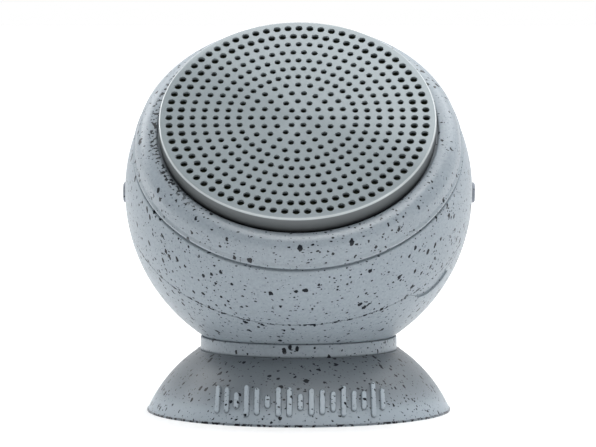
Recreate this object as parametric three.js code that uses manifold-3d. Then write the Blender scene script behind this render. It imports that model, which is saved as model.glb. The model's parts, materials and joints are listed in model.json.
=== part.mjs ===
// Palm-size Bluetooth shower speaker: a ball with a tilted round grille, screwed on a suction cup.
// Millimetres, +Z up. The suction cup's lip lies on Z = 0 and its axis is the Z axis.
// The ball faces -Y and looks up, so its own axis is turned back by BALL_TILT from the vertical.

import * as THREE from 'three';
import { mergeVertices } from 'three/addons/utils/BufferGeometryUtils.js';
import Module from 'manifold-3d';

const wasm = await Module();
wasm.setup();

// ---------- driving dimensions ----------
const BALL_R = 42; // outer radius of the ball
const BALL_Z = 53.2; // height of the ball's centre above the base
const BALL_TILT = THREE.MathUtils.degToRad(43.3); // grille axis from the vertical
const WALL = 2.4; // thickness of the moulded shells
const GAP = 0.3; // clearance between neighbouring pieces
const INNER_R = BALL_R - WALL;
const RING_SIDES = 40; // facets round a large turned piece
const DRIVER_SIDES = 28; // facets round the pieces of the loudspeaker
const SMALL_SIDES = 16; // facets round a small turned piece

// heights along the ball's axis, measured from its centre
const PARTING_H = -1.6; // joint between the front housing and the rear shell
const STEP_H = 14.5; // groove between the front housing and the bezel
const BAFFLE_TOP = 16.7;
const BAFFLE_UNDER = 14.9;
const FACE_H = 25.2; // outer face of the grille

// grille
const GRILLE_R = 32.95;
const GRILLE_EDGE = 0.5; // rounding between the face and the rim
const GRILLE_SHEET = 0.8;
const GRILLE_RIM_H = 20.4; // lower end of the grille's rim
const HOLE_PITCH = 2.776; // distance between rings of holes
const HOLES_IN_RING = [6, 12, 18, 24, 36, 42, 48, 54, 60, 66, 72];
const HOLE_R = 0.73;
const OUTER_HOLE_R = 0.86; // the two outer rings have wider holes
const WIDE_RINGS = 2;
const HOLE_SIDES = 4;

// bezel
const BEZEL_BORE = 33.4;
const SHOULDER_R = 34.2; // radius at which the centre of the shoulder's rounding lies
const SHOULDER_H = 16.7;
const SHOULDER_ROUND = 4.6;
const LIP_R = 39.1;
const LIP_H = 16.2;
const BEZEL_SEAT_R = 30.6;

// loudspeaker
const DRIVER_R = 28;
const CONE_TOP_R = 17;
const COIL_R = 6.6;

// electronics
const BOARD = { x: 60, y: 28, top: -6.4, thick: 1.6 };
const BATTERY = { x: 40, y: 26, top: -13, thick: 8.5 };

// side buttons
const BUTTON_R = 2.5;
const BUTTON_H = -4.5;
const BUTTON_UP = 3.8;
const BUTTON_TOP = 42.85;

// charging-port flap in the rear shell, under a round tongue of the front housing
const FLAP_TURN = THREE.MathUtils.degToRad(-40);
const FLAP_H = -9.3; // height of the flap's middle on the ball
const FLAP_HALF_W = 6.4;
const FLAP_LOW = -4.2; // lower edge, from the flap's middle; the flap hinges on it
const FLAP_BACK = 39.8; // distance of its flat inner side from the ball's centre
const PLUG_DEEP = 1.5;
const TONGUE_R = 10.4;
const TONGUE_Y = 14.7; // centre of the tongue's round edge, from the flap's middle
const TONGUE_THICK = 1.6;

// screws through the baffle
const PILLAR_R = 32;
const PILLAR_TURNS = [55, 125, 235, 305].map(THREE.MathUtils.degToRad);
const PILLAR_WIDE = 3;
const SCREW_R = 1.25;

// base
const CUP_FOOT_R = 36.8;
const CUP_LIP_R = 34.4; // inner edge of the lip's flat underside
const CUP_TOP_R = 24.6;
const CUP_TOP_Z = 14.9;
const COLLAR_R = 23.8;
const COLLAR_LOW = 15.2;
const STUD_R = 3;
const STUD_TOP = 19.6;
const STUD_HEAD_LOW = 7.4;
const STUD_HEAD_HIGH = 8.9;

// ---------- materials ----------
const finish = (color, roughness, metalness = 0) =>
  new THREE.MeshStandardMaterial({ color, roughness, metalness });
const SPECKLED = () => finish(0x959fa7, 0.55);
const BLACK_PLASTIC = () => finish(0x202225, 0.6);
const RUBBER = () => finish(0x2b2d30, 0.85);
const STEEL = () => finish(0xa9adb0, 0.35, 0.9);
const BRASS = () => finish(0xb79a55, 0.35, 0.9);

// ---------- solids ----------
// A closed geometry with only positions, welded, and without the slivers that a lathe leaves on its axis.
function solidOf(geometry) {
  const bare = geometry.clone();
  bare.deleteAttribute('normal');
  bare.deleteAttribute('uv');
  const welded = mergeVertices(bare, 1e-5);
  const corners = [];
  const index = welded.index.array;
  for (let i = 0; i < index.length; i += 3) {
    const [a, b, c] = [index[i], index[i + 1], index[i + 2]];
    if (a !== b && b !== c && c !== a) corners.push(a, b, c);
  }
  return new wasm.Manifold(new wasm.Mesh({
    numProp: 3,
    vertProperties: new Float32Array(welded.attributes.position.array),
    triVerts: new Uint32Array(corners),
  }));
}

function geometryOf(solid) {
  const mesh = solid.getMesh();
  const geometry = new THREE.BufferGeometry();
  geometry.setAttribute('position', new THREE.BufferAttribute(mesh.vertProperties, 3));
  geometry.setIndex(new THREE.BufferAttribute(mesh.triVerts, 1));
  geometry.computeVertexNormals();
  return geometry;
}

// A ring or disc turned about Z from its outline of [radius, height] points, in either sense.
function turned(outline, sides = RING_SIDES) {
  const points = outline.map(([r, z]) => new THREE.Vector2(r, z));
  const area = THREE.ShapeUtils.area(points);
  if (area < 0) points.reverse();
  const onAxis = points.filter((p) => p.x === 0).length;
  if (onAxis === 0) points.push(points[0].clone());
  // An outline with two points on the axis is opened there, so that it starts and ends on it.
  while (onAxis === 2 && !(points[0].x === 0 && points[points.length - 1].x === 0)) {
    points.push(points.shift());
  }
  return solidOf(new THREE.LatheGeometry(points, sides).rotateX(Math.PI / 2));
}

const ring = (inner, outer, low, high, sides) =>
  turned([[inner, low], [outer, low], [outer, high], [inner, high]], sides);

const rod = (radius, low, high, sides = SMALL_SIDES) =>
  turned([[0, low], [radius, low], [radius, high], [0, high]], sides);

const block = (x, y, z) => solidOf(new THREE.BoxGeometry(x, y, z));

// Points along an arc about (r, z), from one angle to another in degrees.
function arc(r, z, radius, from, to, steps) {
  const points = [];
  for (let i = 0; i <= steps; i += 1) {
    const angle = THREE.MathUtils.degToRad(from + ((to - from) * i) / steps);
    points.push([r + radius * Math.cos(angle), z + radius * Math.sin(angle)]);
  }
  return points;
}

// Points on a sphere about the origin between two heights.
function sphereArc(radius, from, to, steps) {
  const angleAt = (h) => THREE.MathUtils.radToDeg(Math.asin(h / radius));
  return arc(0, 0, radius, angleAt(from), angleAt(to), steps)
    .map(([r, z]) => [Math.abs(r) < 1e-6 ? 0 : r, z]);
}

const matrix = (position, rotation = [0, 0, 0], order = 'XYZ') =>
  new THREE.Matrix4().compose(
    new THREE.Vector3(...position),
    new THREE.Quaternion().setFromEuler(new THREE.Euler(...rotation, order)),
    new THREE.Vector3(1, 1, 1),
  );

const placed = (solid, placement) => solid.transform(placement.elements);
const moved = (solid, x, y, z) => placed(solid, matrix([x, y, z]));

// A bar along X from one place to another.
const barX = (radius, low, high, y, z, sides = SMALL_SIDES) =>
  placed(rod(radius, low, high, sides), matrix([0, y, z], [0, Math.PI / 2, 0]));

// ---------- scene graph ----------
const speaker = new THREE.Group();
const ball = new THREE.Group(); // everything that turns on the base; its Z is the grille's axis
ball.position.z = BALL_Z;
ball.rotation.x = BALL_TILT;
speaker.add(ball);

function add(parent, name, solid, material) {
  const mesh = new THREE.Mesh(geometryOf(solid), material);
  mesh.name = name;
  parent.add(mesh);
}

// Placement, inside the ball, of a frame whose Z is vertical again: the threaded foot is built in it.
const upright = matrix([0, 0, 0], [-BALL_TILT, 0, 0]);

// Placement of a frame at the ball's centre that looks out through the flap: Z out, X round the ball.
const flapFrame = new THREE.Matrix4();
{
  const round = new THREE.Vector3(-Math.sin(FLAP_TURN), Math.cos(FLAP_TURN), 0);
  const out = new THREE.Vector3(Math.cos(FLAP_TURN), Math.sin(FLAP_TURN), 0)
    .multiplyScalar(Math.sqrt(BALL_R ** 2 - FLAP_H ** 2))
    .setZ(FLAP_H)
    .normalize();
  flapFrame.makeBasis(round, out.clone().cross(round), out);
}

// A flat outline raised between two distances from the ball's centre, in the flap's frame.
function raised(outline, low, high) {
  const depth = high - low;
  const slab = new THREE.ExtrudeGeometry(outline, { depth, bevelEnabled: false, curveSegments: 5 });
  return placed(solidOf(slab.translate(0, 0, low)), flapFrame);
}

// A block with round ends.
function stadium(width, tall, low, high) {
  const end = tall / 2;
  const half = width / 2 - end;
  const outline = new THREE.Shape();
  outline.absarc(half, 0, end, -Math.PI / 2, Math.PI / 2, false);
  outline.absarc(-half, 0, end, Math.PI / 2, 1.5 * Math.PI, false);
  return raised(outline, low, high);
}

// The flap's outline, grown all round: a hollow upper edge that follows the tongue, and a round lower edge.
function flapShape(grown, low, high) {
  const wide = FLAP_HALF_W + grown;
  const edge = TONGUE_R + GAP - grown;
  const reach = Math.asin(wide / edge);
  const outline = new THREE.Shape();
  outline.absarc(0, TONGUE_Y, edge, -Math.PI / 2 - reach, -Math.PI / 2 + reach, false);
  outline.lineTo(wide, 0.5);
  outline.quadraticCurveTo(wide, FLAP_LOW - grown, wide - 4.2, FLAP_LOW - grown);
  outline.lineTo(-wide + 4.2, FLAP_LOW - grown);
  outline.quadraticCurveTo(-wide, FLAP_LOW - grown, -wide, 0.5);
  return raised(outline, low, high);
}

// The round tongue between two radii of the ball.
function tongue(edge, inner, outer) {
  const disc = new THREE.Shape();
  disc.absarc(0, TONGUE_Y, edge, 0, 2 * Math.PI, false);
  const curveSegments = DRIVER_SIDES;
  const slab = new THREE.ExtrudeGeometry(disc, { depth: 20, bevelEnabled: false, curveSegments });
  return placed(solidOf(slab.translate(0, 0, 30)), flapFrame)
    .intersect(ballOfRadius(outer).subtract(ballOfRadius(inner)));
}

const ballOfRadius = (radius) => turned(sphereArc(radius, -radius, radius, 18));

// ---------- grille and its cloth ----------
function grilleSheet() {
  const face = new THREE.Shape();
  face.absarc(0, 0, GRILLE_R - GRILLE_EDGE, 0, 2 * Math.PI, false);
  const punch = (x, y, radius) => {
    const corners = [];
    for (let i = 0; i < HOLE_SIDES; i += 1) {
      const turn = (-2 * Math.PI * i) / HOLE_SIDES;
      corners.push(new THREE.Vector2(x + radius * Math.cos(turn), y + radius * Math.sin(turn)));
    }
    face.holes.push(new THREE.Path(corners));
  };
  punch(0, 0, HOLE_R);
  HOLES_IN_RING.forEach((count, i) => {
    const radius = i < HOLES_IN_RING.length - WIDE_RINGS ? HOLE_R : OUTER_HOLE_R;
    const ringR = (i + 1) * HOLE_PITCH;
    for (let k = 0; k < count; k += 1) {
      const turn = (2 * Math.PI * k) / count;
      punch(ringR * Math.cos(turn), ringR * Math.sin(turn), radius);
    }
  });
  const sheet = new THREE.ExtrudeGeometry(face, {
    depth: GRILLE_SHEET, bevelEnabled: false, curveSegments: RING_SIDES,
  });
  return solidOf(sheet.translate(0, 0, FACE_H - GRILLE_SHEET));
}

function grille() {
  const inner = GRILLE_R - GRILLE_SHEET;
  const rim = turned([
    [inner - 0.6, FACE_H],
    [GRILLE_R - GRILLE_EDGE, FACE_H],
    ...arc(GRILLE_R - GRILLE_EDGE, FACE_H - GRILLE_EDGE, GRILLE_EDGE, 60, 0, 2),
    [GRILLE_R, GRILLE_RIM_H],
    [inner, GRILLE_RIM_H],
    [inner, FACE_H - GRILLE_SHEET],
    [inner - 0.6, FACE_H - GRILLE_SHEET],
  ]);
  return grilleSheet().add(rim);
}
add(ball, 'grille', grille(), finish(0xaab0b3, 0.45, 0.6));
add(ball, 'grille_cloth', ring(0, 31.6, 23.8, 24.05).add(rod(1, 23.8, 24.05)), finish(0x14150f, 0.95));

// ---------- moulded shells ----------
function bezel() {
  return turned([
    [39.38, STEP_H + 0.2],
    [LIP_R, LIP_H],
    ...arc(SHOULDER_R, SHOULDER_H, SHOULDER_ROUND, 22, 90, 5),
    [33.7, 21.15],
    [BEZEL_BORE, 20.6],
    [BEZEL_BORE, 20],
    [BEZEL_SEAT_R, 20],
    [BEZEL_SEAT_R, BAFFLE_TOP + GAP],
    [36.4, BAFFLE_TOP + GAP],
    [36.4, STEP_H + 0.2],
  ]);
}
add(ball, 'bezel_ring', bezel(), SPECKLED());

function pillars(solid, low, high, radius, join) {
  return PILLAR_TURNS.reduce((body, turn) => {
    const [x, y] = [PILLAR_R * Math.cos(turn), PILLAR_R * Math.sin(turn)];
    const pillar = moved(rod(radius, low, high, 12), x, y, 0);
    return join ? body.add(pillar) : body.subtract(pillar);
  }, solid);
}

function frontHousing() {
  const low = PARTING_H + GAP / 2;
  const shell = turned([
    ...sphereArc(BALL_R, low, STEP_H - 0.15, 3),
    [36.1, STEP_H - 0.15],
    [36.1, BAFFLE_TOP],
    [24.6, BAFFLE_TOP],
    [24.6, BAFFLE_UNDER],
    [32.5, BAFFLE_UNDER],
    [35.4, 12],
    ...sphereArc(INNER_R, 11, low, 2),
  ]);
  const flapCover = tongue(TONGUE_R, BALL_R - TONGUE_THICK, BALL_R)
    .subtract(moved(block(100, 100, 60), 0, 0, low + 30 + GAP));
  const bossed = pillars(shell.add(flapCover), low + 0.2, BAFFLE_UNDER + 0.5, PILLAR_WIDE, true);
  const drilled = pillars(bossed, low - 1, BAFFLE_TOP + 1, SCREW_R + GAP, false);
  return pillars(drilled, BAFFLE_TOP - 1.8, BAFFLE_TOP + 1, 2.9, false);
}
add(ball, 'front_housing', frontHousing(), SPECKLED());

function rearShell() {
  const high = PARTING_H - GAP / 2;
  const everythingAbove = (h) => moved(block(100, 100, 60), 0, 0, h + 30);
  const portBoss = flapShape(2, 36.4, BALL_R).subtract(everythingAbove(high - 1));
  const bosses = pillars(portBoss, -28, high - 0.2, PILLAR_WIDE, true)
    .add(placed(rod(7.4, -BALL_R, -31.4), upright))
    .intersect(turned(sphereArc(BALL_R - WALL / 2, -BALL_R + WALL / 2, BALL_R - WALL / 2, 8), DRIVER_SIDES));
  let shell = turned([
    ...sphereArc(BALL_R, -BALL_R, high, 10),
    ...sphereArc(INNER_R, high, -INNER_R, 6),
  ]).add(bosses);
  shell = pillars(shell, -18, high + 1, SCREW_R + 0.25, false);
  shell = shell.subtract(placed(rod(5.5, -BALL_R - 2, -30), upright));
  shell = shell.subtract(tongue(TONGUE_R + GAP, BALL_R - TONGUE_THICK - GAP, BALL_R + 3));
  shell = shell.subtract(flapShape(GAP, FLAP_BACK - GAP, BALL_R + 3));
  shell = shell.subtract(stadium(11, 5, 30, BALL_R));
  const [holeFrom, holeTo] = [30, 50];
  shell = shell.subtract(barX(BUTTON_R + 0.35, holeFrom, holeTo, BUTTON_UP, BUTTON_H));
  return shell.subtract(barX(BUTTON_R + 0.35, -holeTo, -holeFrom, BUTTON_UP, BUTTON_H));
}
add(ball, 'rear_shell', rearShell(), SPECKLED());
add(ball, 'housing_seal', ring(38.4, 39, PARTING_H - 0.25, PARTING_H + 1), RUBBER());

// ---------- charging port ----------
function portFlap() {
  const skin = flapShape(0, FLAP_BACK, BALL_R + 3).intersect(ballOfRadius(BALL_R));
  const plug = stadium(9.6, 3.6, FLAP_BACK - PLUG_DEEP, FLAP_BACK + 0.2);
  return skin.add(plug);
}
add(ball, 'port_flap', portFlap(), SPECKLED());

function usbSocket() {
  const shellOut = stadium(9.2, 3.4, 29.5, 37);
  const hollow = stadium(8.4, 2.6, 30.3, 38);
  return shellOut.subtract(hollow).add(stadium(6.6, 0.8, 30, 36));
}
add(ball, 'usb_socket', usbSocket(), STEEL());
const usbBoard = placed(moved(block(10, 1.2, 6.5), 0, -2.6, 32.9), flapFrame);
add(ball, 'usb_board', usbBoard, finish(0x1f5a3a, 0.6));

// ---------- loudspeaker ----------
const gasket = ring(24.8, DRIVER_R + 0.2, BAFFLE_TOP + GAP, BAFFLE_TOP + 1.1, DRIVER_SIDES);
add(ball, 'driver_gasket', gasket, RUBBER());

function basket() {
  const flangeLow = BAFFLE_TOP + 1.4;
  let frame = turned([
    [23.4, flangeLow + 1.2],
    [DRIVER_R, flangeLow + 1.2],
    [DRIVER_R, flangeLow],
    [24, flangeLow],
    [23.4, 14.4],
    [14.6, 6.5],
    [7.7, 6.5],
    [7.7, 7.6],
    [14, 7.6],
    [22.4, 14.9],
  ], DRIVER_SIDES);
  for (let i = 0; i < 4; i += 1) {
    const window = moved(block(14, 14, 5.4), 20.5, 0, 10.9);
    frame = frame.subtract(placed(window, matrix([0, 0, 0], [0, 0, (i * Math.PI) / 2])));
  }
  return frame;
}
add(ball, 'driver_basket', basket(), finish(0x2a2c2e, 0.5, 0.6));

const surround = turned([
  [25.6, 19.6],
  [25.6, 20.1],
  [23.2, 20.1],
  ...arc(20.2, 20.1, 2.6, 0, 180, 4),
  [16.4, 20.1],
  [16.4, 19.6],
  [18.1, 19.6],
  ...arc(20.2, 20.1, 2.1, 180, 0, 4),
  [22.8, 19.6],
], DRIVER_SIDES);
add(ball, 'cone_surround', surround, RUBBER());
const cone = turned([
  [CONE_TOP_R, 19.3], [COIL_R + 0.4, 13.7], [COIL_R + 0.4, 13.1], [CONE_TOP_R + 0.6, 18.8],
], DRIVER_SIDES);
add(ball, 'speaker_cone', cone, finish(0x2f3133, 0.8));
const dustCap = turned([
  ...sphereArc(9.5, 9.5 * Math.cos(0.75), 9.5, 3),
  ...sphereArc(9.1, 9.1, 9.1 * Math.cos(0.74), 3),
], SMALL_SIDES);
add(ball, 'dust_cap', moved(dustCap, 0, 0, 7.4), finish(0x232527, 0.6));
const voiceCoil = ring(COIL_R - 0.3, COIL_R + 0.3, 3.6, 12.8, DRIVER_SIDES);
add(ball, 'voice_coil', voiceCoil, finish(0xb4622d, 0.4, 0.8));
const spider = turned([
  [7.2, 9.6],
  [9, 10.3],
  [10.8, 9.6],
  [12.6, 10.3],
  [14.2, 9.7],
  [14.2, 9.2],
  [12.6, 9.8],
  [10.8, 9.1],
  [9, 9.8],
  [7.2, 9.1],
], SMALL_SIDES);
add(ball, 'spider', spider, finish(0xb08d4a, 0.9));
add(ball, 'top_plate', ring(7.3, 13, 4.4, 6.2, DRIVER_SIDES), STEEL());
add(ball, 'magnet', ring(9.2, 14, 0.1, 4.1, DRIVER_SIDES), finish(0x3a3a3c, 0.7));
add(ball, 'yoke', rod(13, -2.1, -0.2, DRIVER_SIDES).add(rod(5.9, -1, 6.1, DRIVER_SIDES)), STEEL());

PILLAR_TURNS.forEach((turn, i) => {
  const x = PILLAR_R * Math.cos(turn);
  const y = PILLAR_R * Math.sin(turn);
  const screw = rod(2.4, 15.2, 16.6, 12).add(rod(SCREW_R, -12, 16, 12));
  add(ball, `housing_screw_${i + 1}`, moved(screw, x, y, 0), STEEL());
});

// ---------- electronics ----------
const boardLow = BOARD.top - BOARD.thick;
add(ball, 'main_board', moved(block(BOARD.x, BOARD.y, BOARD.thick), 0, 0, boardLow + BOARD.thick / 2),
  finish(0x1f5a3a, 0.6));
const onBoard = (x, y, z, atX, atY) => moved(block(x, y, z), atX, atY, BOARD.top + GAP + z / 2);
add(ball, 'bluetooth_module', onBoard(16, 12, 2, -12, -8), STEEL());
add(ball, 'amplifier_chip', onBoard(6, 6, 1, 8, -8), BLACK_PLASTIC());
add(ball, 'power_inductor', onBoard(6, 6, 2.6, 18, 6), BLACK_PLASTIC());
const cell = moved(block(BATTERY.x, BATTERY.y, BATTERY.thick), 0, 2, BATTERY.top - BATTERY.thick / 2);
add(ball, 'battery_cell', cell, finish(0x9fb4c8, 0.4, 0.3));
add(ball, 'battery_pad', moved(block(36, 22, 3.4), 0, 2, BATTERY.top + GAP + 1.7), finish(0x3b3b3b, 0.95));

function cradle() {
  const low = BATTERY.top - BATTERY.thick - GAP;
  const tray = moved(block(BATTERY.x + 4, BATTERY.y + 4, 5), 0, 2, low + 1);
  return tray.subtract(moved(block(BATTERY.x + 2 * GAP, BATTERY.y + 2 * GAP, 8), 0, 2, low + 4));
}
add(ball, 'battery_cradle', cradle(), BLACK_PLASTIC());

// Leads held between the driver, the battery and the board.
function lead(points) {
  const path = new THREE.CatmullRomCurve3(points.map((p) => new THREE.Vector3(...p)));
  const section = new THREE.Shape();
  section.absarc(0, 0, 0.6, 0, 2 * Math.PI, false);
  return solidOf(new THREE.ExtrudeGeometry(section, {
    steps: 14, curveSegments: 3, bevelEnabled: false, extrudePath: path,
  }));
}
[1, -1].forEach((side, i) => {
  const x = side * 2.2;
  add(ball, `speaker_lead_${i + 1}`, lead([
    [x, 15.4, 6.8], [x, 16.4, 4], [x, 16.2, 0], [x, 14.6, -3.6], [x, 13.4, -5.9],
  ]), finish(side > 0 ? 0xa02020 : 0x1c1c1c, 0.6));
});

// ---------- side buttons and their switches ----------
[['left', -1], ['right', 1]].forEach(([name, side]) => {
  const along = (radius, from, to, sides) => {
    const [left, right] = side > 0 ? [from, to] : [-to, -from];
    return barX(radius, left, right, BUTTON_UP, BUTTON_H, sides);
  };
  const cap = along(BUTTON_R, 37.4, BUTTON_TOP - 0.4)
    .add(along(BUTTON_R - 0.4, 42, BUTTON_TOP))
    .add(along(3, 37, 38))
    .add(along(1.1, 34.3, 37.6, 12));
  add(ball, `${name}_button`, cap, SPECKLED());
  const tact = moved(block(3.4, 5, 3.4), side * 30.3, BUTTON_UP, BUTTON_H).add(along(0.9, 31.5, 33.3, 12));
  add(ball, `${name}_switch`, tact, BLACK_PLASTIC());
});

// ---------- threaded foot of the ball ----------
const insert = placed(ring(STUD_R + GAP, 5.2, -41.2, -32, SMALL_SIDES), upright);
add(ball, 'threaded_insert', insert, BRASS());

// ---------- base ----------
function suctionCup() {
  const bore = STUD_R + GAP;
  const crown = BALL_Z - Math.sqrt((BALL_R + GAP) ** 2 - bore ** 2);
  const hollowTop = 7;
  const hollow = [];
  for (let i = 0; i <= 5; i += 1) {
    const r = 33.8 + ((8.4 - 33.8) * i) / 5;
    hollow.push([r, hollowTop - (hollowTop - 0.8) * ((r - 8.4) / 25.4) ** 2]);
  }
  const seat = sphereArc(BALL_R + GAP, -BALL_Z + crown, -BALL_Z + CUP_TOP_Z, 3)
    .map(([r, z]) => [r, z + BALL_Z]);
  return turned([
    [CUP_LIP_R, 0],
    [CUP_FOOT_R, 0],
    [CUP_FOOT_R, 0.45],
    ...arc(5.75, -13.23, 33.75, 25.5, 56, 6),
    [CUP_TOP_R, CUP_TOP_Z],
    ...seat.reverse(),
    [bore, STUD_HEAD_HIGH + GAP],
    [8.4, STUD_HEAD_HIGH + GAP],
    ...hollow.reverse(),
  ]);
}
add(speaker, 'suction_cup', suctionCup(), SPECKLED());

function collar() {
  const underBall = sphereArc(BALL_R + GAP, -BALL_Z + COLLAR_LOW, -BALL_Z + 18.1, 3);
  const seat = underBall.map(([r, z]) => [r, z + BALL_Z]);
  return turned([...seat, [COLLAR_R, 18.1], [COLLAR_R, COLLAR_LOW]]);
}
add(speaker, 'collar_ring', collar(), SPECKLED());
const stud = rod(7.6, STUD_HEAD_LOW, STUD_HEAD_HIGH).add(rod(STUD_R, STUD_HEAD_HIGH - 0.5, STUD_TOP));
add(speaker, 'base_stud', stud, STEEL());

export default speaker;
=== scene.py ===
"""The looks of a palm-size shower speaker: smooth speckled shells, a turned metal grille and their finishes.

Sizes are in millimetres until put() writes them, in metres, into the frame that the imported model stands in.
"""
import json
import math

import bpy
import numpy as np
from mathutils import Matrix, Vector
from mathutils.geometry import delaunay_2d_cdt


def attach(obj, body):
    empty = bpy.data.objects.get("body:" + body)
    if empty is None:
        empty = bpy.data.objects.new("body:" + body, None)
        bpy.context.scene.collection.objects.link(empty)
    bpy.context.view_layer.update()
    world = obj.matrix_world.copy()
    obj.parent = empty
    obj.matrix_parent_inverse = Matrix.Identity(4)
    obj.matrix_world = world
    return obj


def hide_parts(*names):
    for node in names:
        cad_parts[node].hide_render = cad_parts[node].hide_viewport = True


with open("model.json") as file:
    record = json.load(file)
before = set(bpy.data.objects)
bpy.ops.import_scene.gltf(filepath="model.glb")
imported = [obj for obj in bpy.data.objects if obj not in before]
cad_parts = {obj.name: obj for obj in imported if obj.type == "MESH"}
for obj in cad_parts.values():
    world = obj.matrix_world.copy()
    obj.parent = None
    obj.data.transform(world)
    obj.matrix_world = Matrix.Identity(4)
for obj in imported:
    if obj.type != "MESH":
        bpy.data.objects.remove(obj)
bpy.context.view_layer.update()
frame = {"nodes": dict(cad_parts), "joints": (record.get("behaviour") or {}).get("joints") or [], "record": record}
MM = 0.001

# ---------- driving sizes, in millimetres ----------
BALL_R = 42.0
BALL_Z = 53.2
WALL = 2.4
PARTING_H = -1.6  # joint between the front housing and the rear shell, along the ball's axis
STEP_H = 14.5  # groove between the front housing and the bezel
SEAM = 0.06  # half of the visible gap at a joint
FACE_H = 25.2  # the grille's outer face
GRILLE_R = 32.95
GRILLE_EDGE = 0.5
GRILLE_SHEET = 0.8
GRILLE_FOOT = 20.4  # the lower edge of the grille's turned-down side
HOLE_PITCH = 2.776
HOLES_IN_RING = [6, 12, 18, 24, 36, 42, 48, 54, 60, 66, 72]
HOLE_R = 0.72
OUTER_HOLE_R = 0.86
WIDE_RINGS = 2
FLAP_TURN = math.radians(-40)
FLAP_H = -9.3
FLAP_HALF_W = 6.4
FLAP_LOW = -4.2
FLAP_BACK = 39.8
FLAP_BEND = 4.2  # how far in the flap's lower corners start to bend
TONGUE_R = 10.4
TONGUE_Y = 14.7
LIP_WIDE = 1.2  # width of the crescent lip that a nail lifts the flap by
LIP_PROUD = 0.45  # how far the lip stands out of the ball
THROUGH_WALL = (30, 50)  # from inside the ball's wall to outside it
BUTTON_R = 2.5
BUTTON_H = -4.5
BUTTON_UP = 3.8
BUTTON_TOP = 42.85
COLLAR_R = 23.8
CUP_ARC = (5.75, -13.23, 33.75)  # centre and radius of the cup's outer curve
CUP_FOOT_R = 36.8
BEZEL_TOP = 21.3  # the top of the bezel's shoulder
GROOVE_HALF = 0.28  # half of the groove's width under the bezel
COLLAR_LOW = 14.92
COLLAR_TOP = 18.1

joint = {j["name"]: j for j in frame["joints"]}
axis = Vector(joint["cone_slide"]["axis"]).normalized()
TILT = math.atan2(-axis.y, axis.z)
BALL = Matrix.Translation((0, 0, BALL_Z)) @ Matrix.Rotation(TILT, 4, "X")
BASE = Matrix.Identity(4)


def flap_matrix():
    """A frame at the ball's centre, inside the ball, that looks out through the flap along its Z."""
    around = Vector((-math.sin(FLAP_TURN), math.cos(FLAP_TURN), 0))
    reach = math.sqrt(BALL_R**2 - FLAP_H**2)
    out = Vector((math.cos(FLAP_TURN) * reach, math.sin(FLAP_TURN) * reach, FLAP_H)).normalized()
    up = out.cross(around)
    return BALL @ Matrix((around, up, out)).transposed().to_4x4()


FLAP = flap_matrix()


# ---------- mesh building ----------
def put(name, points, faces, space):
    """A mesh object whose points are given in millimetres in a space of the object."""
    mesh = bpy.data.meshes.new(name)
    placed = [(space @ Vector(p)) * MM for p in points]
    mesh.from_pydata(placed, [], faces)
    mesh.update()
    made = bpy.data.objects.new(name, mesh)
    bpy.context.scene.collection.objects.link(made)
    return made


def smooth(piece, angle=35):
    piece.data.polygons.foreach_set("use_smooth", [True] * len(piece.data.polygons))
    piece.data.set_sharp_from_angle(angle=math.radians(angle))
    return piece


def arc(r, z, radius, start, end, steps):
    """Points along an arc about (r, z), from one angle to another in degrees."""
    turns = [math.radians(start + (end - start) * i / steps) for i in range(steps + 1)]
    return [(r + radius * math.cos(t), z + radius * math.sin(t)) for t in turns]


def sphere_arc(radius, start, end, steps):
    """Points on a sphere about the origin, from one height to another."""
    low, high = (math.degrees(math.asin(max(-1, min(1, h / radius)))) for h in (start, end))
    return [(max(0.0, r) if abs(r) > 1e-6 else 0.0, z) for r, z in arc(0, 0, radius, low, high, steps)]


def rounded(corners, steps=4):
    """An outline whose corners are given as (r, z) or (r, z, rounding)."""
    outline = []
    count = len(corners)
    for i, corner in enumerate(corners):
        point = Vector(corner[:2])
        if len(corner) < 3:
            outline.append(tuple(point))
            continue
        before = (Vector(corners[i - 1][:2]) - point).normalized()
        after = (Vector(corners[(i + 1) % count][:2]) - point).normalized()
        half = before.angle(after) / 2
        reach = corner[2] / math.tan(half)
        centre = point + (before + after).normalized() * corner[2] / math.sin(half)
        first, last = point + before * reach - centre, point + after * reach - centre
        sweep = first.angle_signed(last)
        for k in range(steps + 1):
            turn = -sweep * k / steps
            cos, sin = math.cos(turn), math.sin(turn)
            spoke = Vector((first.x * cos - first.y * sin, first.x * sin + first.y * cos))
            outline.append(tuple(centre + spoke))
    return outline


def even_turns(sides):
    return [2 * math.pi * k / sides for k in range(sides)]


def turned(name, outline, space, turns=even_turns(192), relief=None):
    """A piece turned about Z from a closed outline, or from one that starts and ends on the axis."""
    area = sum(a[0] * b[1] - b[0] * a[1] for a, b in zip(outline, outline[1:] + outline[:1]))
    if area < 0:
        outline = outline[::-1]
    points, rows, faces = [], [], []
    for r, z in outline:
        if r < 1e-9:
            points.append((0, 0, z))
            rows.append([len(points) - 1] * len(turns))
            continue
        first = len(points)
        for t in turns:
            radius, height = relief(r, z, t) if relief else (r, z)
            points.append((radius * math.cos(t), radius * math.sin(t), height))
        rows.append(list(range(first, first + len(turns))))
    on_axis = sum(r < 1e-9 for r, z in outline)
    pairs = list(zip(rows, rows[1:]))
    if on_axis == 0:
        pairs.append((rows[-1], rows[0]))
    for low, high in pairs:
        for k in range(len(turns)):
            n = (k + 1) % len(turns)
            corners = list(dict.fromkeys((low[k], low[n], high[n], high[k])))
            if len(corners) > 2:
                faces.append(corners)
    return put(name, points, faces, space)


def prism(name, outline, low, high, space):
    """A flat outline raised between two heights."""
    count = len(outline)
    points = [(x, y, low) for x, y in outline] + [(x, y, high) for x, y in outline]
    faces = [list(range(count))[::-1], list(range(count, 2 * count))]
    faces += [[k, (k + 1) % count, (k + 1) % count + count, k + count] for k in range(count)]
    return put(name, points, faces, space)


def circle(x, y, radius, sides=96):
    return [(x + radius * math.cos(t), y + radius * math.sin(t)) for t in even_turns(sides)]


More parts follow.
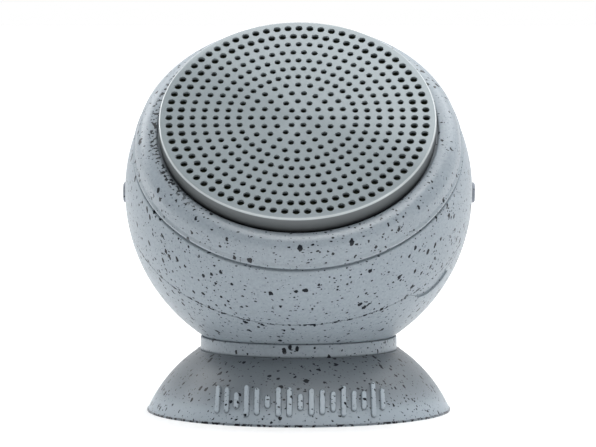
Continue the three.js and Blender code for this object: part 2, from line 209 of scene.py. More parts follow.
def stadium(width, tall):
    end, half = tall / 2, (width - tall) / 2
    return arc(half, 0, end, -90, 90, 12) + arc(-half, 0, end, 90, 270, 12)


def boolean(piece, cutter, operation="DIFFERENCE"):
    """Cuts, joins or keeps what is common, then throws the cutter away."""
    step = piece.modifiers.new("cut", "BOOLEAN")
    step.operation = operation
    step.solver = "EXACT"
    step.object = cutter
    graph = bpy.context.evaluated_depsgraph_get()
    result = bpy.data.meshes.new_from_object(piece.evaluated_get(graph))
    piece.modifiers.clear()
    old = piece.data
    piece.data = result
    bpy.data.meshes.remove(old)
    bpy.data.meshes.remove(cutter.data)
    return piece


def ball_normals(piece):
    """Smooths what lies on the ball as a true sphere, whatever cuts have done to its faces."""
    smooth(piece)
    tolerance, facing_out = 0.05, 0.97
    mesh = piece.data
    centre = BALL @ Vector((0, 0, 0))
    normals = []
    for face in mesh.polygons:
        for loop in face.loop_indices:
            place = mesh.vertices[mesh.loops[loop].vertex_index].co / MM - centre
            normal = mesh.corner_normals[loop].vector.copy()
            if abs(place.length - BALL_R) < tolerance and face.normal.dot(place) > facing_out * place.length:
                normal = place.normalized()
            normals.append(normal)
    mesh.normals_split_custom_set(normals)
    return piece


# ---------- materials ----------
class Finish:
    """A Principled material built node by node."""

    def __init__(self, name):
        self.material = bpy.data.materials.new(name)
        self.material.use_nodes = True
        self.tree = self.material.node_tree
        self.shader = self.tree.nodes["Principled BSDF"]
        self.place = self.node("ShaderNodeTexCoord").outputs["Object"]

    def node(self, kind, inputs=(), **settings):
        made = self.tree.nodes.new(kind)
        for key, value in settings.items():
            setattr(made, key, value)
        for key, value in dict(inputs).items():
            if isinstance(value, bpy.types.NodeSocket):
                self.tree.links.new(value, made.inputs[key])
            else:
                made.inputs[key].default_value = value
        return made

    def math(self, operation, *values):
        return self.node("ShaderNodeMath", dict(enumerate(values)), operation=operation).outputs[0]

    def vector(self, operation, *values):
        return self.node("ShaderNodeVectorMath", dict(enumerate(values)), operation=operation)

    def ramp(self, value, low, high, to_low=0.0, to_high=1.0):
        """Goes smoothly from to_low to to_high as value goes from low to high."""
        inputs = {"Value": value, "From Min": low, "From Max": high, "To Min": to_low, "To Max": to_high}
        made = self.node("ShaderNodeMapRange", inputs, interpolation_type="SMOOTHSTEP")
        return made.outputs["Result"]

    def noise(self, scale, detail):
        return self.node("ShaderNodeTexNoise", {"Vector": self.place, "Scale": scale, "Detail": detail})

    def mix(self, share, first, second):
        made = self.node("ShaderNodeMix", data_type="RGBA")
        for key, value in ((0, share), (6, first), (7, second)):
            if isinstance(value, bpy.types.NodeSocket):
                self.tree.links.new(value, made.inputs[key])
            else:
                made.inputs[key].default_value = value
        return made.outputs[2]

    def stretched(self, place, turn, stretch):
        inputs = {"Vector": place, "Rotation": turn, "Scale": stretch}
        return self.node("ShaderNodeMapping", inputs).outputs[0]

    def bump(self, height, strength, distance):
        made = self.node("ShaderNodeBump", {"Height": height, "Strength": strength, "Distance": distance})
        self.tree.links.new(made.outputs[0], self.shader.inputs["Normal"])

    def set(self, **values):
        for key, value in values.items():
            socket = self.shader.inputs[key.replace("_", " ")]
            if isinstance(value, bpy.types.NodeSocket):
                self.tree.links.new(value, socket)
            else:
                socket.default_value = value

    def wear(self, piece):
        piece.data.materials.clear()
        piece.data.materials.append(self.material)
        return piece


def rgb(red, green, blue):
    """A colour given as it looks on a screen, 0 to 255, as the light it gives back."""
    def light(value):
        value /= 255
        return value / 12.92 if value <= 0.04045 else ((value + 0.055) / 1.055) ** 2.4
    return (light(red), light(green), light(blue), 1.0)


def scaled(colour, factor):
    return tuple(min(1.0, c * factor) for c in colour[:3]) + (1.0,)


FLECK = rgb(2, 10, 22)
BODY = rgb(152, 162, 170)
BEZEL_BODY = rgb(147, 157, 165)
BUTTON_GREY = rgb(138, 144, 153)
FLECK_WANDER = 0.7  # how far a fleck's edge strays from an oval, in millimetres
# Each layer of flecks: spacing, smallest and largest size in millimetres, share of cells with one, seed
BIG_FLECKS = (1.9, 0.24, 0.72, 0.55, 1)
SMALL_FLECKS = (0.86, 0.11, 0.32, 0.6, 2)
DUST_FLECKS = (0.6, 0.07, 0.16, 0.5, 3)
GREY_FLECKS = (1.3, 0.15, 0.42, 0.5, 4)
# A band of flecks is full up to the first distance from its joint and gone at the second, in millimetres
SEAM_BAND = (0.18, 0.38)
RIM_BAND = (0.04, 0.2)
RIM_LEFT = (-29, -21)  # the bezel's flecks are full at the first x and gone at the second


def flecks(finish, place, spacing, smallest, largest, share, seed):
    """A mask of irregular flecks: spacing and sizes in millimetres, share is how many cells hold one."""
    shifted = finish.vector("ADD", place, (seed * 0.137, seed * 0.071, seed * 0.213)).outputs[0]
    cells = finish.node("ShaderNodeTexVoronoi", {"Vector": shifted, "Scale": 1 / (spacing * MM)})
    chance = finish.node("ShaderNodeSeparateColor", {0: cells.outputs["Color"]})
    size = finish.math("MULTIPLY_ADD", finish.math("POWER", chance.outputs[1], 2.0),
                       (largest - smallest) / spacing, smallest / spacing)
    held = finish.math("LESS_THAN", chance.outputs[0], share)
    size = finish.math("MULTIPLY", size, held)
    inner = finish.math("SUBTRACT", size, cells.outputs["Distance"])
    edge = 0.05 / spacing
    return finish.ramp(inner, -edge * 0.2, edge)


def ball_height(f):
    """Distance from the ball's centre along its axis, in metres."""
    centred = f.vector("SUBTRACT", f.place, (0, 0, BALL_Z * MM)).outputs[0]
    return f.vector("DOT_PRODUCT", centred, tuple(axis)).outputs["Value"]


def near_height(f, value, level, full, gone):
    """A mask of the band where value, in metres, is near a level; all else is in millimetres."""
    away = f.math("ABSOLUTE", f.math("SUBTRACT", value, level * MM))
    return f.ramp(away, full * MM, gone * MM, 1.0, 0.0)


def seam_flecks(f, seams, upright_seams, rim):
    """Flecks that collect in a thin band along each joint, or None where no joint is given."""
    x, _, z = f.node("ShaderNodeSeparateXYZ", {0: f.place}).outputs
    bands = [near_height(f, ball_height(f), level, *SEAM_BAND) for level in seams]
    bands += [near_height(f, z, level, *SEAM_BAND) for level in upright_seams]
    if rim is not None:
        left = f.ramp(x, RIM_LEFT[0] * MM, RIM_LEFT[1] * MM, 1.0, 0.0)
        bands.append(f.math("MULTIPLY", near_height(f, ball_height(f), rim, *RIM_BAND), left))
    if not bands:
        return None
    near = bands[0]
    for band in bands[1:]:
        near = f.math("MAXIMUM", near, band)
    dashes = f.ramp(f.noise(1100, 1.0).outputs["Fac"], 0.51, 0.57)
    return f.math("MULTIPLY", near, dashes)


def mottled(f, base):
    """Slow and fine changes of tone, as a moulding has between its flecks."""
    drift = f.noise(60, 2.0).outputs["Fac"]
    mottle = f.ramp(f.noise(1500, 2.0).outputs["Fac"], 0.3, 0.7)
    share = f.math("MULTIPLY", f.math("ADD", drift, mottle), 0.5)
    return f.mix(share, scaled(base, 0.89), scaled(base, 1.11))


def mark_raised(f):
    """How far, in millimetres, a point stands proud of the cup's plain skin."""
    split = f.node("ShaderNodeSeparateXYZ", {0: f.place})
    reach = f.vector("LENGTH", f.vector("MULTIPLY", f.place, (1, 1, 0)).outputs[0]).outputs["Value"]
    sideways = f.math("SUBTRACT", reach, CUP_ARC[0] * MM)
    upward = f.math("SUBTRACT", split.outputs[2], CUP_ARC[1] * MM)
    span = f.math("SQRT", f.math("ADD", f.math("POWER", sideways, 2.0), f.math("POWER", upward, 2.0)))
    return f.math("DIVIDE", f.math("SUBTRACT", span, CUP_ARC[2] * MM), MM)


def cup_painted_light_and_shade(f, base):
    """Painted light and shade: paler at the lip, darker towards the collar as the ball's shadow, each raised bar
    with a painted shadow round it and a painted highlight on top.
    """
    level = f.math("DIVIDE", f.node("ShaderNodeSeparateXYZ", {0: f.place}).outputs[2], MM)
    raised = mark_raised(f)
    # Painted light towards the lip and painted shade towards the collar, where the ball shades the cup.
    body = f.mix(f.ramp(level, 2.0, 6.0, 0.85, 0.0), base, scaled(base, 1.36))
    body = f.mix(f.ramp(level, 2.5, 9.5), body, scaled(base, 0.60))
    # A painted shadow round each raised bar's foot, then a painted highlight on its top.
    body = f.mix(f.ramp(raised, 0.02, 0.10), body, scaled(base, 0.68))
    return f.mix(f.ramp(raised, 0.22, 0.5), body, scaled(base, 1.42))


def speckled(name, base, tones=mottled, seams=(), upright_seams=(), rim=None):
    """A moulding with black and grey flecks, which gather along its joints.

    tones gives the colour between the flecks. seams are heights along the ball's axis, upright_seams heights
    above the base, and rim a height along the axis where flecks gather on the left, all in millimetres.
    """
    f = Finish(name)
    wander = f.vector("SUBTRACT", f.noise(1300, 2.0).outputs["Color"], (0.5, 0.5, 0.5)).outputs[0]
    wander = f.vector("MULTIPLY", wander, (FLECK_WANDER * MM,) * 3).outputs[0]
    place = f.vector("ADD", f.place, wander).outputs[0]
    slanted = f.stretched(place, (0.5, 0.3, 0.2), (1, 1.5, 0.75))
    leaning = f.stretched(place, (-0.4, 0.9, 1.1), (0.7, 1.3, 1.2))
    dark = f.math("MAXIMUM", flecks(f, slanted, *BIG_FLECKS), flecks(f, leaning, *SMALL_FLECKS))
    dark = f.math("MAXIMUM", dark, f.math("MULTIPLY", flecks(f, slanted, *DUST_FLECKS), 0.7))
    gathering = seam_flecks(f, seams, upright_seams, rim)
    if gathering is not None:
        dark = f.math("MAXIMUM", dark, gathering)
    grey = f.math("MULTIPLY", flecks(f, leaning, *GREY_FLECKS), 0.28)
    # For the cup, tones paints light and shade into the colour between the flecks.
    body = f.mix(grey, tones(f, base), scaled(base, 0.45))
    f.set(Base_Color=f.mix(dark, body, FLECK), Roughness=0.36, Specular_IOR_Level=0.24)
    f.bump(f.noise(4200, 3.0).outputs["Fac"], 0.25, 0.00006)
    return f


def turned_metal():
    """Satin light alloy with the fine rings that turning leaves round the grille's middle, painted shade on its
    turned-down side and a painted highlight along its edge.
    """
    f = Finish("turned_alloy")
    rings = f.node("ShaderNodeTexWave", {"Vector": f.place, "Scale": 900.0, "Distortion": 1.2, "Detail": 2.0},
                   wave_type="RINGS", rings_direction="Z").outputs["Fac"]
    patches = f.noise(55, 3.0).outputs["Fac"]
    face = f.mix(patches, rgb(142, 152, 156), rgb(148, 157, 161))
    face = f.mix(f.math("MULTIPLY", rings, 0.10), face, rgb(128, 137, 141))
    depth = f.math("DIVIDE", f.node("ShaderNodeSeparateXYZ", {0: f.place}).outputs[2], MM)
    face_edge = FACE_H - GRILLE_EDGE
    # Painted shade and reflection: the turned-down side is dark, paler towards the face and nearly black at its
    # foot, where the bezel shades it.
    side_painted_shading = f.ramp(depth, GRILLE_FOOT + 1.1, face_edge, 0.15, 0.22)
    side_painted_shading = f.math("MULTIPLY", f.ramp(depth, GRILLE_FOOT, GRILLE_FOOT + 1.9), side_painted_shading)
    side = f.mix(side_painted_shading, rgb(20, 22, 24), rgb(196, 204, 206))
    metal = f.mix(f.ramp(depth, face_edge - 0.05, face_edge + 0.1), side, face)
    # Painted highlight: a near-white line along the rounded edge of the face.
    metal = f.mix(f.math("MULTIPLY", grille_edge_highlight(f, depth), 0.45), metal, rgb(235, 240, 240))
    specks = flecks(f, f.place, 4.2, 0.08, 0.26, 0.4, 7)
    metal = f.mix(f.math("MULTIPLY", specks, 0.85), metal, FLECK)
    face_gloss = f.ramp(patches, 0.3, 0.7, 0.08, 0.10)
    gloss = f.math("ADD", face_gloss, f.ramp(depth, FACE_H - 0.5, FACE_H - 0.1, 0.28, 0.0))
    f.set(Base_Color=metal, Metallic=0.12, Roughness=gloss)
    f.bump(rings, 0.12, 0.00002)
    return f


def grille_edge_highlight(f, depth):
    """A mask of the rounded edge between the grille's face and its turned-down side, where a highlight is painted.
    """
    above = f.ramp(depth, FACE_H - 0.42, FACE_H - 0.3)
    below = f.ramp(depth, FACE_H - 0.06, FACE_H - 0.01, 1.0, 0.0)
    reach = f.vector("LENGTH", f.vector("MULTIPLY", f.place, (1, 1, 0)).outputs[0]).outputs["Value"]
    outer = f.ramp(reach, (GRILLE_R - 0.5) * MM, (GRILLE_R - 0.45) * MM)
    return f.math("MULTIPLY", f.math("MULTIPLY", above, below), outer)


WAVE_PERIOD = 0.314  # the wave texture's bands lie this far apart at a scale of 1


def woven(name, first, second, pitch, roughness=0.95):
    """Two sets of threads crossing: pitch is the distance between threads, in millimetres."""
    f = Finish(name)
    inputs = {"Vector": f.place, "Scale": WAVE_PERIOD / (pitch * MM)}
    across = f.node("ShaderNodeTexWave", inputs, bands_direction="X")
    along = f.node("ShaderNodeTexWave", inputs, bands_direction="Y")
    threads = f.math("MAXIMUM", across.outputs["Fac"], along.outputs["Fac"])
    fuzz = f.noise(2500, 3.0).outputs["Fac"]
    tone = f.math("MULTIPLY", threads, f.ramp(fuzz, 0.3, 0.7, 0.7, 1.0))
    f.set(Base_Color=f.mix(tone, first, second), Roughness=roughness)
    f.bump(threads, 0.6, 0.0001)
    return f


def moulded(name, base, roughness=0.55, grain=1500, depth=0.00003, metallic=0.0):
    """A plain material with its own grain, slight colour drift and uneven gloss."""
    f = Finish(name)
    cloud = f.noise(90, 3.0).outputs["Fac"]
    fine = f.noise(grain, 3.0).outputs["Fac"]
    worn = f.ramp(cloud, 0.3, 0.7, roughness - 0.05, roughness + 0.07)
    f.set(Base_Color=f.mix(cloud, scaled(base, 0.88), scaled(base, 1.12)), Roughness=worn, Metallic=metallic)
    f.bump(fine, 0.4, depth)
    return f


def wound_wire():
    f = Finish("enamelled_wire")
    turns = f.math("SINE", f.math("MULTIPLY", ball_height(f), 2 * math.pi / (0.22 * MM)))
    tone = f.ramp(turns, -1.0, 1.0)
    f.set(Base_Color=f.mix(tone, rgb(112, 52, 24), rgb(205, 120, 66)), Roughness=0.35, Metallic=0.85)
    f.bump(tone, 0.7, 0.00008)
    return f


def board_finish():
    """Green solder mask over copper tracks, with small silvery pads."""
    f = Finish("solder_mask")
    tracks = f.node("ShaderNodeTexBrick", {"Vector": f.place, "Scale": 260.0, "Mortar Size": 0.03,
                                           "Brick Width": 0.9, "Row Height": 0.35})
    plain = f.node("ShaderNodeSeparateColor", {0: tracks.outputs["Color"]}).outputs[0]
    tracks = f.math("SUBTRACT", 1.0, plain)
    pads = flecks(f, f.place, 2.2, 0.2, 0.4, 0.35, 9)
    green = f.mix(f.ramp(tracks, 0.2, 0.9), rgb(18, 70, 44), rgb(40, 112, 70))
    shine = f.math("MULTIPLY", pads, 0.8)
    f.set(Base_Color=f.mix(pads, green, rgb(186, 190, 186)), Roughness=0.4, Metallic=shine)
    f.bump(tracks, 0.4, 0.00004)
    return f


SLOT_FINISHES = {
    "grille_metal": turned_metal(),
    "acoustic_cloth": woven("acoustic_cloth", rgb(20, 23, 17), rgb(52, 58, 40), 0.30),
    "steel": moulded("zinc_plate", rgb(196, 198, 200), 0.32, 3000, 0.00001, metallic=0.9),
    "brass": moulded("turned_brass", rgb(196, 166, 96), 0.3, 3000, 0.00001, metallic=0.9),
    "black_rubber": moulded("black_rubber", rgb(38, 38, 40), 0.8),
    "circuit_board": board_finish(),
    "basket_metal": moulded("black_paint", rgb(44, 45, 47), 0.45, 2400, 0.00002, metallic=0.4),
    "cone_paper": moulded("pressed_fibre", rgb(48, 48, 50), 0.85, 900, 0.00008),
    "copper_coil": wound_wire(),
    "spider_cloth": woven("resin_weave", rgb(150, 122, 70), rgb(206, 178, 120), 0.45, 0.8),
    "ferrite": moulded("ferrite", rgb(58, 58, 60), 0.6, 1800, 0.00005),
    "black_plastic": moulded("black_plastic", rgb(34, 35, 38), 0.5),
    "cell_foil": moulded("foil_wrap", rgb(186, 196, 206), 0.35, 500, 0.0001, metallic=0.8),
    "foam": moulded("open_cell_foam", rgb(60, 60, 61), 0.95, 1400, 0.0003),
    "lead_red": moulded("red_insulation", rgb(160, 30, 28), 0.45, 1200, 0.00002),
    "lead_black": moulded("black_insulation", rgb(30, 30, 31), 0.45, 1200, 0.00002),
}


# ---------- base ----------
FRONT = math.radians(-90)
MARK_FROM, MARK_TO = -19.6, 21.4  # the raised mark's bars, left to right across the front of the cup
MARK_BARS = 17
MARK_Z = 5.5
MARK_HALF_WIDE = 0.62
MARK_RAISED = 0.6
MARK_EDGE = 0.11  # half of the width over which a bar rises


def mark_height(across, z):
    """Height of a row of rounded bars of uneven length, like a sound level, above the cup's skin."""
    pitch = (MARK_TO - MARK_FROM) / (MARK_BARS - 1)
    bar = round((across - MARK_FROM) / pitch)
    if not 0 <= bar < MARK_BARS:
        return 0.0
    half = 1.95 + 0.85 * math.sin(2.15 * bar + 0.4) + 0.35 * math.sin(4.7 * bar)
    beyond = max(0.0, abs(z - MARK_Z) - half)
    away = math.hypot(across - MARK_FROM - bar * pitch, beyond)
    rise = max(0.0, min(1.0, (MARK_HALF_WIDE + MARK_EDGE - away) / (2 * MARK_EDGE)))
    return MARK_RAISED * rise * rise * (3 - 2 * rise)


def mark_relief(r, z, turn):
    """Lifts a point of the cup's outer curve by the mark's height there."""
    centre_r, centre_z, radius = CUP_ARC
    if not 1.0 < z < 10.5 or abs(math.hypot(r - centre_r, z - centre_z) - radius) > 0.01:
        return r, z
    raised = mark_height((turn - FRONT) * r, z) / radius
    return r + (r - centre_r) * raised, z + (z - centre_z) * raised


def cup_turns():
    """Turns round the cup, close together across the raised mark."""
    half_span, step, coarse_turns = 44, 0.34, 120
    dense_turns = round(2 * half_span / step) + 1
    dense = [FRONT + math.radians(step * k - half_span) for k in range(dense_turns)]
    coarse = 2 * math.pi - (dense[-1] - dense[0])
    return dense + [dense[-1] + coarse * k / coarse_turns for k in range(1, coarse_turns)]


def suction_cup():
    hub_r, lip_r, roof, lip_height = 8.4, 33.8, 7.0, 0.8
    shares = [k / 12 for k in range(13)]
    hollow = [(hub_r + (lip_r - hub_r) * t, roof - (roof - lip_height) * t**2) for t in shares]
    seat = sphere_arc(BALL_R + 0.3, 11.0 - BALL_Z + 0.03, 14.9 - BALL_Z, 12)
    outline = rounded([(34.4, 0, 0.15), (CUP_FOOT_R, 0, 0.12), (CUP_FOOT_R, 0.62, 0.2)])
    outline += arc(*CUP_ARC, 25.5, 56, 84)
    outline += rounded([(24.62, 14.75), (24.6, 14.9, 0.1), (23.0, 14.9)])[1:-1]
    outline += [(r, z + BALL_Z) for r, z in reversed(seat)]
    outline += [(3.3, 9.2), (hub_r, 9.2)] + hollow
    return smooth(turned("suction_cup_smooth", outline, BASE, cup_turns(), mark_relief))


def collar_ring():
    seat = sphere_arc(BALL_R + 0.02, COLLAR_LOW - BALL_Z, COLLAR_TOP - BALL_Z, 10)
    seat = [(r, z + BALL_Z) for r, z in seat]
    outline = rounded([seat[0], (COLLAR_R, COLLAR_LOW, 0.05), (COLLAR_R, COLLAR_TOP, 0.3), seat[-1]])
    outline += reversed(seat[1:-1])
    return smooth(turned("collar_smooth", outline, BASE))


# ---------- ball ----------
def bend(start, middle, end):
    """Points along a curve that starts and ends in line with its middle point, without its start."""
    start, middle, end = Vector(start), Vector(middle), Vector(end)
    shares = [k / 12 for k in range(1, 13)]
    return [tuple(start * (1 - t) ** 2 + middle * 2 * t * (1 - t) + end * t * t) for t in shares]


def flap_outline(grown):
    """The flap's outline, or its pocket's when grown: the tongue's arc above, two bent corners below."""
    wide, low = FLAP_HALF_W + grown, FLAP_LOW - grown
    edge = TONGUE_R + 0.3 - grown
    reach = math.degrees(math.asin(wide / edge))
    side_end, foot = 0.5, wide - FLAP_BEND
    outline = arc(0, TONGUE_Y, edge, -90 - reach, -90 + reach, 40) + [(wide, side_end)]
    outline += bend((wide, side_end), (wide, low), (foot, low)) + [(-foot, low)]
    return outline + bend((-foot, low), (-wide, low), (-wide, side_end))


def button_space(side):
    """A space at a side button's place, with its Z out of the ball: -1 is the left side, 1 the right."""
    outwards = Matrix.Rotation(math.radians(90 * side), 4, "Y")
    return BALL @ Matrix.Translation((0, BUTTON_UP, BUTTON_H)) @ outwards


def rear_shell():
    top, inner = PARTING_H - SEAM, BALL_R - WALL
    outline = sphere_arc(BALL_R, -BALL_R, top, 58) + sphere_arc(inner, top, -inner, 29)
    shell = turned("rear_shell_smooth", outline, BALL, even_turns(240))
    stud_hole = prism("cutter", circle(0, 0, 5.5), 5, 24, BASE)
    tongue = prism("cutter", circle(0, TONGUE_Y, TONGUE_R + SEAM, 160), *THROUGH_WALL, FLAP)
    pocket = prism("cutter", flap_outline(2 * SEAM), FLAP_BACK - 0.3, THROUGH_WALL[1], FLAP)
    port = prism("cutter", stadium(11, 5), *THROUGH_WALL, FLAP)
    button_hole = circle(0, 0, BUTTON_R + 0.12, 64)
    bores = [prism("cutter", button_hole, *THROUGH_WALL, button_space(side)) for side in (-1, 1)]
    for cutter in [stud_hole, tongue, pocket, port, *bores]:
        boolean(shell, cutter)
    return ball_normals(shell)


def front_housing():
    shelf_r = 36.1
    shelf_h = STEP_H - GROOVE_HALF
    start = STEP_H - 0.9
    rim = math.sqrt(BALL_R**2 - start**2)
    inner = BALL_R - WALL
    outline = sphere_arc(BALL_R, -7, start, 30)
    outline += rounded([(rim, start), (rim - 0.3, shelf_h, 0.5), (shelf_r, shelf_h)])[1:-1]
    outline += [(shelf_r, shelf_h), (shelf_r, 16.7), (24.6, 16.7), (24.6, 14.9), (32.5, 14.9), (35.4, 12)]
    outline += sphere_arc(inner, 11, -7, 16)
    shell = turned("front_housing_smooth", outline, BALL, even_turns(240))
    below = prism("cutter", circle(0, 0, 60, 4), -40, PARTING_H + SEAM, BALL)
    boolean(below, prism("tongue", circle(0, TONGUE_Y, TONGUE_R - SEAM, 160), 20, 60, FLAP))
    return ball_normals(boolean(shell, below))


def bezel_ring():
    shoulder = arc(34.2, 16.7, 4.6, 24, 90, 20)
    foot = STEP_H + GROOVE_HALF
    corners = rounded([(36.4, 17.0), (36.4, foot), (39.4, foot, 0.42),
                       (39.42, 15.6, 0.25), (38.95, 16.25, 0.5), shoulder[0]])
    bore = rounded([shoulder[-1], (33.4, BEZEL_TOP, 0.5), (33.4, 20), (30.6, 20), (30.6, 17.0)])
    return smooth(turned("bezel_smooth", corners[:-1] + shoulder + bore[1:], BALL, even_turns(240)), 50)


def side_button(name, side):
    outline = rounded([(0, 34.3), (1.1, 34.3), (1.1, 37.0), (3, 37.0), (3, 38), (BUTTON_R, 38),
                       (BUTTON_R, BUTTON_TOP, 0.5), (0, BUTTON_TOP)], 6)
    return smooth(turned(f"{name}_smooth", outline, button_space(side), even_turns(64)))


def whole_ball(radius):
    """A cutter that keeps what lies within a radius of the ball's centre."""
    return turned("cutter", sphere_arc(radius, -radius, radius, 120), BALL, even_turns(240))


def port_flap():
    skin = prism("port_flap_smooth", flap_outline(0), FLAP_BACK, 46, FLAP)
    boolean(skin, whole_ball(BALL_R), "INTERSECT")
    upper = arc(0, TONGUE_Y, TONGUE_R + 0.32, -90 - 31, -90 + 31, 30)
    side = upper[-1][0] + 0.01
    lower = [(x, y - LIP_WIDE * math.cos(math.pi / 2 * x / side)) for x, y in upper[1:-1]]
    lip = prism("lip", upper[::-1] + lower, 41, 46, FLAP)
    boolean(lip, whole_ball(BALL_R + LIP_PROUD), "INTERSECT")
    boolean(skin, lip, "UNION")
    plug = prism("plug", stadium(9.6, 3.6), FLAP_BACK - 1.5, FLAP_BACK + 0.2, FLAP)
    return ball_normals(boolean(skin, plug, "UNION"))


# ---------- grille ----------
HOLE_SIDES = 20
RIM_SIDES = 192
CHAMFER = 0.07


def hole_loops():
    """Centre and radius of every hole, ring by ring."""
    loops = [(0.0, 0.0, HOLE_R)]
    for ring, count in enumerate(HOLES_IN_RING, 1):
        radius = OUTER_HOLE_R if ring > len(HOLES_IN_RING) - WIDE_RINGS else HOLE_R
        reach = ring * HOLE_PITCH
        loops += [(reach * math.cos(turn), reach * math.sin(turn), radius) for turn in even_turns(count)]
    return loops


def punched_disc(loops, edge_r):
    """Flat triangles between the holes' countersinks and the sheet's edge."""
    flat, borders = [], []
    rims = [(x, y, radius + CHAMFER, HOLE_SIDES) for x, y, radius in loops] + [(0.0, 0.0, edge_r, RIM_SIDES)]
    for x, y, radius, count in rims:
        first = len(flat)
        flat += [Vector(p) for p in circle(x, y, radius, count)]
        borders += [(first + k, first + (k + 1) % count) for k in range(count)]
    places, _, faces = delaunay_2d_cdt(flat, borders, [], 0, 1e-6)[:3]
    centres = np.array(loops)
    middles = np.array([sum((places[v] for v in face), Vector((0, 0))) / 3 for face in faces])
    gaps = np.hypot(middles[:, None, 0] - centres[None, :, 0], middles[:, None, 1] - centres[None, :, 1])
    solid = (gaps > 0.98 * (centres[None, :, 2] + CHAMFER)).all(axis=1)
    return [face for face, keep in zip(faces, solid) if keep]


def band_faces(high, low, count):
    """Faces between two closed rows of points, given by the number of each row's first point."""
    return [(high + k, low + k, low + (k + 1) % count, high + (k + 1) % count) for k in range(count)]


def grille():
    """A punched sheet with a turned-down rim; each hole has a small countersink at the face."""
    loops = hole_loops()
    edge_r, inner_r = GRILLE_R - GRILLE_EDGE, GRILLE_R - GRILLE_SHEET
    disc = punched_disc(loops, edge_r)
    points = []
    for z, grown, rim_r in [(FACE_H, CHAMFER, edge_r), (FACE_H - CHAMFER, 0.0, edge_r),
                            (FACE_H - GRILLE_SHEET, 0.0, inner_r)]:
        for x, y, radius in loops:
            points += [(px, py, z) for px, py in circle(x, y, radius + grown, HOLE_SIDES)]
        points += [(px, py, z) for px, py in circle(0, 0, rim_r, RIM_SIDES)]
    level = len(points) // 3
    faces = [tuple(corners) for corners in disc]
    faces += [tuple(v + 2 * level for v in reversed(corners)) for corners in disc]
    for first in range(0, len(loops) * HOLE_SIDES, HOLE_SIDES):
        faces += band_faces(first, first + level, HOLE_SIDES)
        faces += band_faces(first + level, first + 2 * level, HOLE_SIDES)
    profile = arc(edge_r, FACE_H - GRILLE_EDGE, GRILLE_EDGE, 90, 0, 8)[1:]
    profile += [(GRILLE_R, GRILLE_FOOT + 0.1), (GRILLE_R - 0.1, GRILLE_FOOT), (inner_r, GRILLE_FOOT)]
    rows = [len(loops) * HOLE_SIDES]
    for r, z in profile:
        rows.append(len(points))
        points += [(px, py, z) for px, py in circle(0, 0, r, RIM_SIDES)]
    rows.append(rows[0] + 2 * level)
    for high, low in zip(rows, rows[1:]):
        faces += band_faces(high, low, RIM_SIDES)
    return smooth(put_on_axis("grille_punched", points, faces), 40)


def put_on_axis(name, points, faces):
    """A mesh object along the ball's axis, whose own Z runs along that axis for its material's sake."""
    used = sorted({v for face in faces for v in face})
    number = {v: k for k, v in enumerate(used)}
    kept = [[number[v] for v in face] for face in faces]
    made = put(name, [points[v] for v in used], kept, Matrix.Identity(4))
    made.matrix_world = Matrix.Translation((0, 0, BALL_Z * MM)) @ BALL.to_3x3().to_4x4()
    return made


# ---------- putting the pieces on their bodies ----------
cup_finish = speckled("speckled_silicone", scaled(BODY, 0.85), cup_painted_light_and_shade, upright_seams=(0.05, 0.3))
base_finish = speckled("speckled_base", BODY)
ball_finish = speckled("speckled_abs", BODY, seams=(PARTING_H,))
bezel_finish = speckled("speckled_bezel", BEZEL_BODY, rim=BEZEL_TOP)
bezel_finish.set(Roughness=0.29, Specular_IOR_Level=0.5)
flap_finish = speckled("speckled_flap", BODY)
button_finish = speckled("speckled_button", BUTTON_GREY)

PIECES = [
    (suction_cup(), "base", "suction_cup", "base_silicone", cup_finish),
    (collar_ring(), "base", "collar_ring", "base_silicone", base_finish),
    (rear_shell(), "ball", "rear_shell", "speckled_shell", ball_finish),
    (front_housing(), "ball", "front_housing", "speckled_shell", ball_finish),
    (bezel_ring(), "ball", "bezel_ring", "speckled_shell", bezel_finish),
    (grille(), "ball", "grille", "grille_metal", SLOT_FINISHES["grille_metal"]),
    (port_flap(), "port_flap", "port_flap", "flap_rubber", flap_finish),
    (side_button("left_button", -1), "left_button", "left_button", "speckled_button", button_finish),
    (side_button("right_button", 1), "right_button", "right_button", "speckled_button", button_finish),
]
replaced = set()
for piece, body, node, slot, finish in PIECES:
    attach(piece, body)
    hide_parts(node)
    replaced.add(node)
    finish.wear(piece)

for part in frame["record"]["subparts"]:
    if part["node"] not in replaced:
        SLOT_FINISHES[part["material_slot"]].wear(frame["nodes"][part["node"]])


# ---------- floor, light and camera ----------
def backdrop():
    size = 12.0
    floor = put("floor", [(-size / MM, -size / MM, 0), (size / MM, -size / MM, 0),
                          (size / MM, size / MM, 0), (-size / MM, size / MM, 0)], [(0, 1, 2, 3)], BASE)
    f = Finish("white_floor")
    mottle = f.noise(3.0, 2.0).outputs["Fac"]
    f.set(Base_Color=f.mix(mottle, rgb(222, 222, 222), rgb(228, 228, 228)), Roughness=0.7)
    away = f.vector("LENGTH", f.place).outputs["Value"]
    glow = f.ramp(away, 0.12, 0.9, 0.26, 0.72)
    f.set(Emission_Color=(1.0, 1.0, 1.0, 1.0), Emission_Strength=glow)
    f.wear(floor)


def softbox(name, place, aim, width, height, power):
    light = bpy.data.lights.new(name, "AREA")
    light.shape = "RECTANGLE"
    light.size, light.size_y = width, height
    light.energy = power
    lamp = bpy.data.objects.new(name, light)
    bpy.context.scene.collection.objects.link(lamp)
    lamp.location = place
    lamp.rotation_euler = (Vector(aim) - Vector(place)).to_track_quat("-Z", "Y").to_euler()
    return lamp


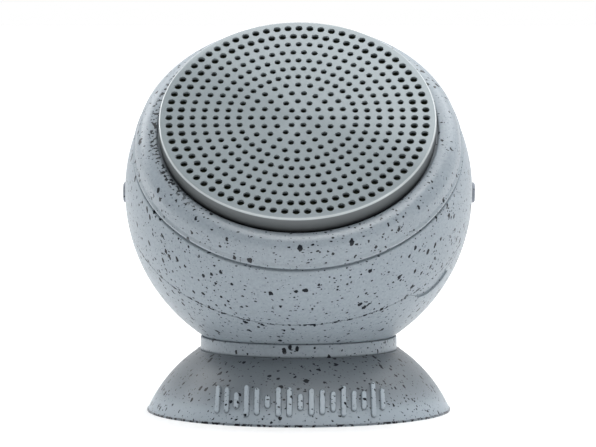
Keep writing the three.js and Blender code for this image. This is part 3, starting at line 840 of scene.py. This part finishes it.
def sky():
    """White to the camera; for light, dim at the front and bright behind the object."""
    world = bpy.data.worlds.new("studio")
    bpy.context.scene.world = world
    world.use_nodes = True
    nodes, links = world.node_tree.nodes, world.node_tree.links
    seen = nodes.new("ShaderNodeBackground")
    seen.inputs["Color"].default_value = (1, 1, 1, 1)
    seen.inputs["Strength"].default_value = 1.0
    lit = nodes["Background"]
    lit.inputs["Color"].default_value = (0.96, 0.98, 1.0, 1.0)
    direction = nodes.new("ShaderNodeSeparateXYZ")
    links.new(nodes.new("ShaderNodeTexCoord").outputs["Generated"], direction.inputs[0])
    depth = nodes.new("ShaderNodeMapRange")
    links.new(direction.outputs[1], depth.inputs["Value"])
    for key, value in {"From Min": -0.15, "From Max": 0.75, "To Min": 0.07, "To Max": 1.15}.items():
        depth.inputs[key].default_value = value
    links.new(depth.outputs[0], lit.inputs["Strength"])
    rays = nodes.new("ShaderNodeLightPath")
    either = nodes.new("ShaderNodeMixShader")
    links.new(rays.outputs["Is Camera Ray"], either.inputs[0])
    links.new(lit.outputs[0], either.inputs[1])
    links.new(seen.outputs[0], either.inputs[2])
    links.new(either.outputs[0], nodes["World Output"].inputs["Surface"])


def lamps():
    overhead = softbox("overhead", (0.118, 0.225, 0.62), (0.118, 0.225, 0), 0.8, 0.5, 3.0)
    overhead.rotation_euler.z = math.radians(-27.7)
    softbox("front_top", (0.09, -0.46, 0.95), (0, 0, 0.06), 0.8, 0.5, 6.1)
    softbox("left_behind", (-0.62, 0.22, 0.22), (0, 0, 0.05), 0.25, 0.45, 0.5)
    softbox("right_behind", (0.62, 0.30, 0.26), (0, 0, 0.05), 0.25, 0.45, 0.15)
    softbox("left_above", (-0.54, 0.30, 0.64), (0, 0, 0.06), 0.42, 0.42, 2.0)
    softbox("right_above", (0.54, 0.30, 0.64), (0, 0, 0.06), 0.42, 0.42, 0.9)
    softbox("right_low", (0.66, -0.42, 0.06), (0, 0, 0.05), 0.25, 0.45, 0.7)


def camera():
    swing, pitch = math.radians(0.85), math.radians(3.66)
    back, height, aside = 0.8477, 0.0995, -0.00016
    view = bpy.data.cameras.new("camera")
    view.lens = 211.65
    view.sensor_width = 36.0
    view.clip_end = 20.0
    eye = bpy.data.objects.new("camera", view)
    bpy.context.scene.collection.objects.link(eye)
    eye.location = Matrix.Rotation(swing, 4, "Z") @ Vector((aside, -back, height))
    eye.rotation_euler = (math.pi / 2 - pitch, 0, swing)
    bpy.context.scene.camera = eye
    bpy.context.scene.view_settings.view_transform = "Standard"


backdrop()
sky()
lamps()
camera()
